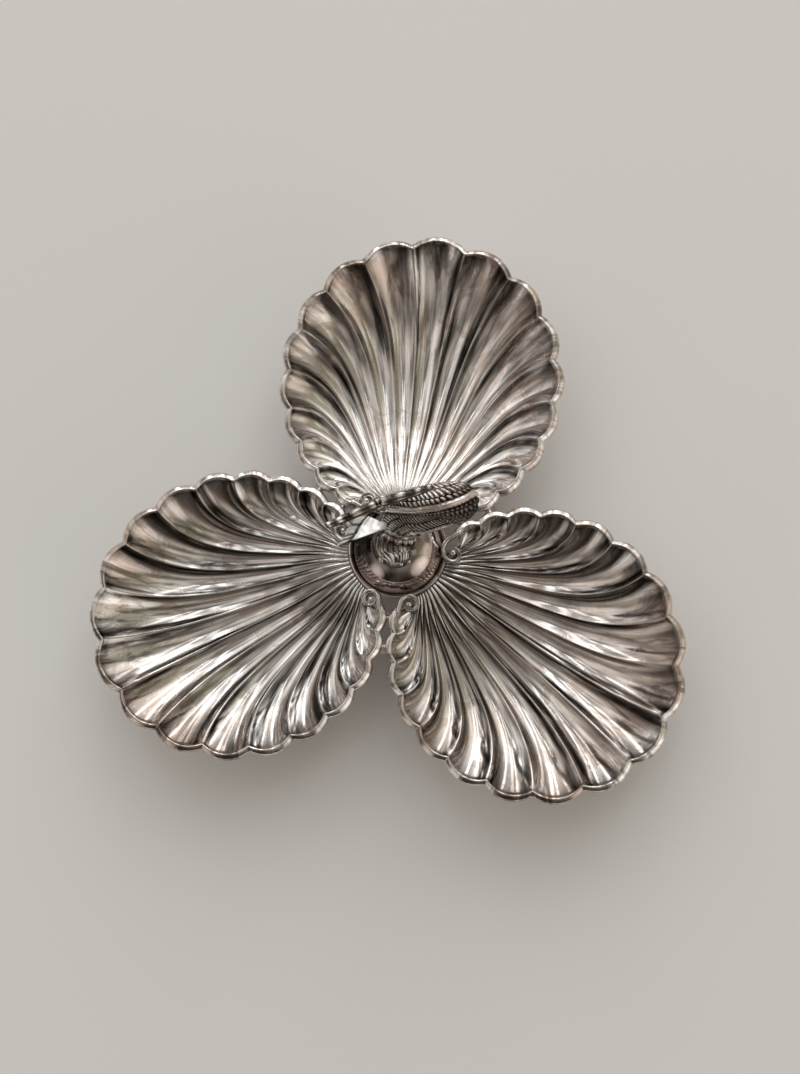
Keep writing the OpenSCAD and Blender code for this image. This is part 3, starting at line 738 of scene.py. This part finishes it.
b = Build()
NUT_SIDES, NUT_CHAMFER = 96, 0.75
q = np.arange(NUT_SIDES) * (360 / NUT_SIDES)
flat_r = NUT_AF / 2 / cosd((q % 60) - 30)
corner, face_r = NUT_AF / 2 / cosd(30), NUT_AF / 2 * 0.98
rings = []
for radius, z in ((face_r, 0), (corner, NUT_CHAMFER), (corner, NUT_H - NUT_CHAMFER), (face_r, NUT_H),
                  (STUD_HOLE_R, NUT_H), (STUD_HOLE_R, 0)):
    r = np.minimum(flat_r, radius)
    rings.append(np.column_stack([r * cosd(q), r * sind(q), np.full(NUT_SIDES, NUT_Z + z)]))
b.add(on_hub(np.stack(rings)), grid_faces(len(rings), NUT_SIDES, wrap_u=True, wrap_v=True))
b.done("hex_nut", BRASS, ["nut"], sharp=25)

b = Build()
THREAD_PITCH, THREAD_DEPTH, STUD_IN_BODY = 0.8, 0.18, 8
z = np.linspace(NUT_Z - STUD_TAIL, DOLPHIN_Z + STUD_IN_BODY, 420)
r = STUD_D / 2 - THREAD_DEPTH - THREAD_DEPTH * cosd(z * 360 / THREAD_PITCH)
r = np.minimum(r, STUD_D / 2 - 0.9 + (z - z[0]) * 1.2)
profile = np.column_stack([np.concatenate([[0], r, [0]]), np.concatenate([z[:1], z, z[-1:]])])
b.add(*solid_lathe(profile, HUB_XY, 40))
b.done("threaded_stud", BRASS, ["stud"])

# Dolphin, in its own frame: right, back and up from the middle of its seat, then two half widths
STATIONS = np.array([
    [0.03, -0.205, 0.05, 0.34, 0.18], [0.02, -0.15, 0.08, 0.68, 0.46],
    [-0.01, -0.03, 0.115, 1.04, 0.92], [0.05, 0.14, 0.22, 0.86, 0.84],
    [0.14, 0.21, 0.33, 0.88, 0.86], [0.28, 0.21, 0.43, 0.90, 0.90],
    [0.45, 0.24, 0.55, 0.88, 0.88], [0.58, 0.26, 0.69, 0.84, 0.84], [0.46, 0.25, 0.83, 0.78, 0.76],
    [0.23, 0.23, 0.87, 0.64, 0.62], [0.06, 0.21, 0.88, 0.50, 0.48], [-0.05, 0.20, 0.92, 0.40, 0.38],
    [-0.07, 0.19, 1.00, 0.36, 0.34]]) * [DOLPHIN_H, DOLPHIN_H, DOLPHIN_H, DOLPHIN_R, DOLPHIN_R]
SPAN_CUTS, RING_SIDES = 40, 160


def through(points, cuts):
    """A smooth curve through the given points."""
    points = np.asarray(points, float)
    p = np.concatenate([points[:1], points, points[-1:]])
    t = (np.arange(cuts) / cuts)[:, None]
    out = []
    for a, b, c, d in zip(p, p[1:], p[2:], p[3:]):
        bend = (2 * a - 5 * b + 4 * c - d) * t * t
        out.append((2 * b + (c - a) * t + bend + (3 * b - a - 3 * c + d) * t**3) / 2)
    return np.concatenate(out + [points[-1:]])


def on_dolphin(verts):
    return on_hub(np.asarray(verts, float) + [0, 0, DOLPHIN_Z], HANDLE_TURN)


SPINE = through(STATIONS, SPAN_CUTS)
SIGMA = np.arange(len(SPINE)) / SPAN_CUTS
_, SIDE, UPPER = frames(SPINE[:, :3])
GIRTH = SPINE[:, 3:].mean(1)


def ways(marks, keys):
    """A direction for every ring, from the directions at some stations."""
    return unit(np.stack([np.interp(SIGMA, marks, k) for k in np.transpose(keys)], -1))


def angle_of(way):
    """The angle round each ring that faces the given direction."""
    return np.degrees(np.arctan2((UPPER * way).sum(1), (SIDE * way).sum(1)))


RIDGE = angle_of(ways([2.4, 4], [(0, 0.3, 0.95), (0, -0.6, 0.8)]))
RAIL = angle_of(ways([6.2, 7.2, 7.6, 8.0, 8.4, 9.2, 10.0, 10.8],
                     [(0.9, 0.2, -0.4), (0.85, 0.39, 0.35), (0.68, 0.01, 0.73), (0.45, -0.32, 0.83),
                      (0.18, -0.57, 0.8), (0.12, -0.73, 0.67), (0.2, -0.61, 0.77), (0.4, -0.5, 0.75)]))
LENGTH = np.concatenate([[0], np.cumsum(np.linalg.norm(np.diff(SPINE[:, :3], axis=0), axis=1))])
SCALE_ROW, SCALE_SLANT = 3.9, 0.55
BACK_PITCH, FRONT_PITCH = 1.75, 1.4
FRILL_TEETH = 15
# Carving of the head: station and half length along the spine, angle from the ridge and half width
BROW, CHEEK, SOCKET = (1.66, 0.24, 50, 11), (2.0, 0.3, 92, 20), (1.5, 0.2, 66, 12)


def body_point(i, delta, gap=0.0):
    """A point of the skin at ring i and an angle from the ridge."""
    return skin_point(i, RIDGE[i] + delta, gap)


def skin_point(i, q, gap):
    """A point of the skin at ring i and angle q, lifted by a gap."""
    return (SPINE[i, :3] + SIDE[i] * cosd(q) * (SPINE[i, 3] + gap)
            + UPPER[i] * sind(q) * (SPINE[i, 4] + gap))


def knoll(s, d, station, length, angle, width):
    """A soft hill on both sides of the head."""
    return bump(s, station, length) * bump(np.abs(d), angle, width)


def body_skin():
    """Rings of the skin: a smooth head, slanting rows of scales and a rail along the back."""
    delta = np.arange(RING_SIDES) * 360 / RING_SIDES - 180
    s, d = SIGMA[:, None], delta[None]
    railed = ease((s - 6.3) / 0.5) * (1 - ease((s - 11.4) / 0.5))
    lean = railed * ((RAIL - RIDGE + 180) % 360 - 180)[:, None]
    arc = np.radians((d - lean + 180) % 360 - 180) * GIRTH[:, None]
    top = 9 * SPAN_CUTS
    north = np.sign((SIDE[top] * cosd(RIDGE[top] + 90) + UPPER[top] * sind(RIDGE[top] + 90))[1])
    out = arc * north
    scaled = ease((s - 2.75) / 0.3) * (1 - ease((s - 11.2) / 0.5))
    pitch = np.where(out > 0, BACK_PITCH, FRONT_PITCH)
    row = np.abs(out) / SCALE_ROW
    g = ((LENGTH[:, None] - SCALE_SLANT * out) / pitch + 0.5 * (np.floor(row) % 2)) % 1
    leaf = 1 - np.abs(2 * (row % 1) - 1) ** 8
    from_rail = np.radians((d + RIDGE[:, None] - RAIL[:, None] + 180) % 360 - 180) * GIRTH[:, None]
    rail = bump(from_rail, 0, 1.15) * railed
    clear = scaled * (1 - railed * np.exp(-((from_rail / 1.7) ** 6)))
    stroke = np.minimum(g * 1.6, (1 - g) * 4).clip(0, 1)
    high = clear * leaf * stroke * np.where(out > 4, 0.85, 0.6) + 0.9 * rail
    # Polished crests of the scales, with painted light on them: a painted highlight on the back flank
    # round station 8.5, painted shade on the front flank and at the bend round station 6.9
    brightened = np.where(out > 0, 0.2 * bump(s, 8.5, 0.9), 0)
    crest = ease((stroke * leaf - 0.5 + brightened) / 0.45) * np.where(out > 0, 1.0, 0.55)
    crest = crest * (1 - 0.7 * bump(s, 6.9, 0.9))
    recess = clear * (0.97 - 0.97 * crest) + 0.8 * railed * bump(np.abs(from_rail), 1.9, 0.45)
    frill = bump(s, 2.55, 0.12) * (1 - ease((np.abs(d) - 125) / 30))
    teeth = cosd(d * FRILL_TEETH)
    high = high + frill * (0.45 + 0.35 * teeth)
    recess = recess + 0.9 * bump(s, 2.72, 0.07) + 0.4 * frill * (0.5 - 0.5 * teeth)
    snout = 1 - ease((s - 1.3) / 0.35)
    mouth = bump(np.abs(d), 101, 5) * snout
    lips = (bump(np.abs(d), 89, 6) + bump(np.abs(d), 113, 6)) * snout
    brow, cheek, socket = (knoll(s, d, *place) for place in (BROW, CHEEK, SOCKET))
    lock = bump(s, 1.55, 0.62) * (1 - ease((np.abs(d) - 40) / 16))
    strand = np.abs(np.sin(np.radians(d * 13 + 150 * s)))
    high = high - 0.6 * mouth + 0.3 * lips + 0.8 * brow + 0.6 * cheek - 0.45 * socket
    high = high + 0.3 * lock * strand
    head = 1 - ease((s - 2.4) / 0.3)
    recess = recess + mouth + 0.5 * socket + lock * np.clip(1.2 - 1.7 * strand, 0, 1)
    # Painted shade over the head, which sits under the body and the fins, apart from its locks
    recess = recess + 0.88 * head * (1 - lock)
    q = RIDGE[:, None] + d
    rings = (SPINE[:, None, :3] + SIDE[:, None] * (cosd(q) * (SPINE[:, 3:4] + high))[..., None]
             + UPPER[:, None] * (sind(q) * (SPINE[:, 4:5] + high))[..., None])
    rings[..., 2] = np.maximum(rings[..., 2], 0)
    return rings, np.clip(recess, 0, 1)


def torus(centre, normal, radius, thick, nu=28, nv=10):
    """A ring about a direction, for the lid of an eye."""
    normal = unit(normal)
    a = unit(np.cross(normal, [0.3, 0.5, 0.81]))
    c = np.cross(normal, a)
    q, r = np.arange(nu) * 360 / nu, np.arange(nv) * 360 / nv
    out = cosd(q)[:, None] * a + sind(q)[:, None] * c
    rings = (np.asarray(centre) + out[:, None] * (radius + thick * cosd(r))[:, None]
             + normal * (thick * sind(r))[:, None])
    return rings, grid_faces(nu, nv, wrap_u=True, wrap_v=True)


b = Build()
rings, recess = body_skin()
b.add(on_dolphin(rings), closed_tube(rings), recess)
for sign in (1, -1):
    i = int(SOCKET[0] * SPAN_CUTS)
    eye_at = body_point(i, sign * SOCKET[2], -0.3)
    normal = unit(eye_at - SPINE[i, :3])
    a = unit(np.cross(normal, [0, 0, 1]))
    rings, faces = blob(eye_at, [a * 1.3, np.cross(normal, a) * 1.3, normal * 1.05], 11, 20)
    b.add(on_dolphin(rings), faces, 0.0)
    rings, faces = torus(eye_at + normal * 0.1, normal, 1.65, 0.42)
    b.add(on_dolphin(rings), faces, 0.35)
    bead_at = body_point(int(0.75 * SPAN_CUTS), sign * 24 - 34, 0.2)
    rings, faces = blob(bead_at, np.eye(3) * 0.85, 9, 16)
    b.add(on_dolphin(rings), faces, 0.1)
b.done("dolphin_skin", HANDLE, ["dolphin_body"], sharp=60)


def plate_faces(nu, nv):
    """Two grids, one above the other, joined all round."""
    n = nu * nv
    top = grid_faces(nu, nv)
    edge = ([i * nv for i in range(nu)] + [(nu - 1) * nv + j for j in range(1, nv)]
            + [i * nv + nv - 1 for i in range(nu - 2, -1, -1)] + [j for j in range(nv - 2, 0, -1)])
    faces = top + [tuple(i + n for i in f[::-1]) for f in top]
    faces += [(a, c, c + n, a + n) for a, c in zip(edge, edge[1:] + edge[:1])]
    return faces


# Edge of a fin as shares of its length and breadth, and where its border is creased
FIN_EDGE = [(1.0, 0.5), (0.95, 0.36), (0.88, 0.22), (0.78, -0.1), (0.6, -0.42)]
FIN_KNOBS, FIN_CREASE, KNOB_REACH, FIN_SINK = 4, 0.68, 1.4, 1.4
FIN_STATION = 3


def fin_piece(name, seat, turn, front, twist):
    """A folded leaf: a smooth twisted blade, a raised rib by its edge and a drooping knobbed border."""
    root = skin_point(FIN_STATION * SPAN_CUTS, seat, FIN_T / 2 + SOLDER_GAP - FIN_SINK)
    nu, nv = 48, FIN_KNOBS * 14 + 1
    a, c = np.linspace(0, 1, nu)[:, None], np.linspace(0, 1, nv)[None]
    edge = through(FIN_EDGE, 40)
    at = np.linspace(0, 1, len(edge))
    knob = np.abs(np.sin(c * FIN_KNOBS * np.pi))
    border = ease((a - FIN_CREASE) / 0.1)
    ex = np.interp(c, at, edge[:, 0]) * (FIN_L - KNOB_REACH) + KNOB_REACH * knob * border
    ey = np.interp(c, at, edge[:, 1]) * FIN_B
    ry = FIN_B * 0.12 * (0.5 - c)
    x = ex * a
    y = ry + (ey - ry) * a
    fold = -1.3 * np.clip((a - FIN_CREASE) / (1 - FIN_CREASE), 0, 1) + 0.55 * bump(a, FIN_CREASE, 0.05)
    swell = 0.45 * border * knob * (1 - ease((a - 0.9) / 0.1))
    vein = 0.12 * np.sin(c * 2 * np.pi) * ease(a / 0.3) * (1 - border)
    half = FIN_T / 2 * (1 - 0.35 * a) + swell + vein
    lean = math.tan(math.radians(twist)) * ease(a / 0.35)
    layers = []
    for sign in (1, -1):
        z = fold + sign * half + lean * y
        local = np.stack([x + 0 * z, front * y + 0 * z, z], -1)
        t = math.radians(FIN_DROOP)
        local = np.stack([local[..., 0] * math.cos(t) + local[..., 2] * math.sin(t), local[..., 1],
                          -local[..., 0] * math.sin(t) + local[..., 2] * math.cos(t)], -1)
        layers.append(turned(local, turn) + root)
    # Painted shade in the crease, on the drooping border between the knobs and at the root
    dark = 0.95 * bump(a, FIN_CREASE + 0.05, 0.05 - 0.025 * c)
    dark = dark + 0.95 * border * np.clip(1.1 - knob * 1.6, 0, 1)
    dark = np.clip(dark + 0.5 * bump(a, 0.0, 0.12), 0, 1)
    b = Build()
    b.add(on_dolphin(np.stack(layers)), plate_faces(nu, nv), np.stack([dark, dark]))
    b.done(name + "_cast", BLADE, [name], sharp=60)


fin_piece("left_fin", 180 - LEFT_FIN_LIFT, 180, 1, 24)
fin_piece("right_fin", -RIGHT_FIN_DROP, RIGHT_FIN_SWEEP, -1, 8)

# Lower and upper edges of a tail leaf as shares of its span and height
FLUKE_LOW = [(0, 0), (0.12, 0.08), (0.4, 0.28), (0.72, 0.46), (1, 0.98)]
FLUKE_HIGH = [(0, 0.5), (0.24, 0.7), (0.6, 0.85), (0.85, 0.97), (1, 1)]
FLUKE_KNOBS = 4


def fluke(turn):
    """One thick leaf of the tail with a knobbed upper edge and a keel along each side."""
    nu, nv = 72, 28
    a = np.linspace(0, 1, nu)[:, None]
    q = (np.arange(nv) * 360 / nv)[None]
    low, high = through(FLUKE_LOW, 30), through(FLUKE_HIGH, 30)
    at = np.linspace(0, 1, len(low))
    knob = np.abs(np.sin(a * FLUKE_KNOBS * np.pi)) ** 0.7 * ease(a / 0.1)
    lx, lz = np.interp(a, at, low[:, 0]), np.interp(a, at, low[:, 1])
    hx, hz = np.interp(a, at, high[:, 0]), np.interp(a, at, high[:, 1]) - 0.05 * (1 - knob)
    across = 0.5 + 0.5 * sind(q)
    x = (lx + (hx - lx) * across) * TAIL_SPAN / 2
    z = (lz + (hz - lz) * across) * TAIL_H
    body = np.interp(a, [0, 0.12, 0.28, 0.55, 0.8, 0.95, 1], [0.85, 1.0, 1.08, 0.92, 0.84, 0.7, 0.45])
    thick = TAIL_T / 2 * body * (0.9 + 0.1 * knob * across)
    y = thick * np.sign(cosd(q)) * np.abs(cosd(q)) ** 0.75
    # Painted shade over the leaf, with painted highlights on the knobs of its upper edge
    dark = 0.92 - 0.9 * knob**9 * ease((across - 0.75) / 0.2)
    rings = turned(np.stack([x, y + 0 * x, z], -1), turn) + STATIONS[-1, :3]
    return rings, closed_tube(rings), np.clip(dark, 0, 1)


b = Build()
for turn in (RIGHT_FLUKE_TURN, 180 + LEFT_FLUKE_TURN):
    verts, faces, dark = fluke(turn)
    b.add(on_dolphin(verts), faces, dark)
rings, faces = blob(STATIONS[-1, :3] + [0, 0, 2.4], np.diag([3.3, 2.9, 3.6]), 13, 24)
b.add(on_dolphin(rings), faces, 0.6)
b.done("tail_cast", HANDLE, ["tail_fan"], sharp=60)

# Camera, fitted to the notches of the three rims in the photograph (angles, then millimetres)
TILT, PAN, ROLL = -7.889, -3.45, -7.995
SHIFT = np.array([-1.31, -4.69, -711.05])
FOCAL_PX, LONG_PX, SENSOR = 1600.0, 1074.0, 36.0
turn = (Matrix.Rotation(math.radians(TILT), 3, "X") @ Matrix.Rotation(math.radians(PAN), 3, "Y")
        @ Matrix.Rotation(math.radians(ROLL), 3, "Z"))
back = np.array(turn.transposed())
eye = (-back @ SHIFT + [0, AXIS_Y, RIM_Z]) / MM_PER_M
camera = bpy.data.cameras.new("camera")
camera.lens = FOCAL_PX / LONG_PX * SENSOR
camera.sensor_width = SENSOR
camera.clip_start = 0.01
view = bpy.data.objects.new("camera", camera)
view.matrix_world = Matrix.Translation(eye) @ turn.transposed().to_4x4()
bpy.context.collection.objects.link(view)
bpy.context.scene.camera = view

# Studio
FLOOR_HALF = 40.0
mesh = bpy.data.meshes.new("floor")
mesh.from_pydata([(-FLOOR_HALF, -FLOOR_HALF, 0), (FLOOR_HALF, -FLOOR_HALF, 0),
                  (FLOOR_HALF, FLOOR_HALF, 0), (-FLOOR_HALF, FLOOR_HALF, 0)], [], [(0, 1, 2, 3)])
floor = bpy.data.objects.new("floor", mesh)
bpy.context.collection.objects.link(floor)
mat, tree, shader = material("floor")
shader.inputs["Base Color"].default_value = (0.93, 0.92, 0.90, 1)
shader.inputs["Roughness"].default_value = 0.9
shader.inputs["Specular IOR Level"].default_value = 0.1
mesh.materials.append(mat)

world = bpy.data.worlds.new("studio")
bpy.context.scene.world = world
world.use_nodes = True
sky = world.node_tree
around = sky.nodes.new("ShaderNodeTexCoord").outputs["Generated"]


def heading(azimuth, rise):
    """The direction at an angle from the right towards the back, and a rise above the floor."""
    return np.array([cosd(azimuth) * cosd(rise), sind(azimuth) * cosd(rise), sind(rise)])


def glow(azimuth, rise, stops):
    """Light of the room by its angle from one direction, the far side first."""
    towards = node(sky, "ShaderNodeVectorMath", operation="DOT_PRODUCT")
    towards.inputs[1].default_value = heading(azimuth, rise)
    sky.links.new(around, towards.inputs[0])
    share = math_node(sky, "MULTIPLY_ADD", towards.outputs["Value"], 0.5)
    share.node.inputs[2].default_value = 0.5
    return ramp(sky, share, stops)


NONE = (0.0,)
room = glow(97, 34, [(0.0, (0.02, 0.0165, 0.014)), (0.15, (0.04, 0.034, 0.029)),
                     (0.25, (0.09, 0.077, 0.067)), (0.38, (0.27, 0.238, 0.212)),
                     (0.6, (0.42, 0.383, 0.35)), (0.78, (0.54, 0.512, 0.484)),
                     (0.9, (0.74, 0.728, 0.703)), (1.0, (0.86, 0.853, 0.84))])
folds = noise(sky, around, 1.7, 1.0, 0.5)
folds = ramp(sky, folds, [(0.36, (0.22,)), (0.5, (0.95,)), (0.64, (1.5,))])
east = glow(15, 34, [(0.0, NONE), (0.82, NONE), (0.94, (0.1, 0.094, 0.064)),
                     (1.0, (0.2, 0.188, 0.128))])
panel = glow(330, 14, [(0.0, NONE), (0.955, NONE), (0.968, (0.34, 0.32, 0.295)),
                       (1.0, (0.7, 0.68, 0.655))])
dusk = glow(232, 10, [(0.0, NONE), (0.975, NONE), (0.985, (0.25, 0.238, 0.222)),
                      (1.0, (0.55, 0.53, 0.505))])
west = glow(155, 38, [(0.0, NONE), (0.97, NONE), (0.99, (0.35, 0.345, 0.335)),
                      (1.0, (0.9, 0.885, 0.865))])
light = mix(sky, 1.0, room, folds, "MULTIPLY")
for part in (east, panel, dusk, west):
    light = mix(sky, 1.0, light, part, "ADD")
sky.links.new(light, sky.nodes["Background"].inputs["Color"])


def softbox(name, azimuth, rise, wide, tall, radiance, distance=4.0):
    """A rectangular light seen from the hub at the given angles, with the given angular size."""
    way = heading(azimuth, rise)
    light = bpy.data.lights.new(name, "AREA")
    light.shape = "RECTANGLE"
    light.size = 2 * distance * math.tan(math.radians(wide / 2))
    light.size_y = 2 * distance * math.tan(math.radians(tall / 2))
    light.energy = math.pi * light.size * light.size_y * radiance
    obj = bpy.data.objects.new(name, light)
    obj.location = way * distance
    obj.rotation_mode = "QUATERNION"
    obj.rotation_quaternion = Vector(-way).to_track_quat("-Z", "Y")
    bpy.context.collection.objects.link(obj)


# Azimuth, rise, width, height and radiance of each pane of the window behind the dish
PANES = ((70, 22, 6, 44, 2.2), (91, 20, 7, 42, 2.3), (92, 57, 6, 30, 1.3), (102, 20, 4, 42, 2.2),
         (124, 24, 6, 48, 2.2), (116, 62, 5, 24, 1.2), (66, 60, 5, 26, 1.2))
for i, pane in enumerate(PANES):
    softbox("window_%d" % i, *pane)
bpy.context.scene.view_settings.view_transform = "Standard"
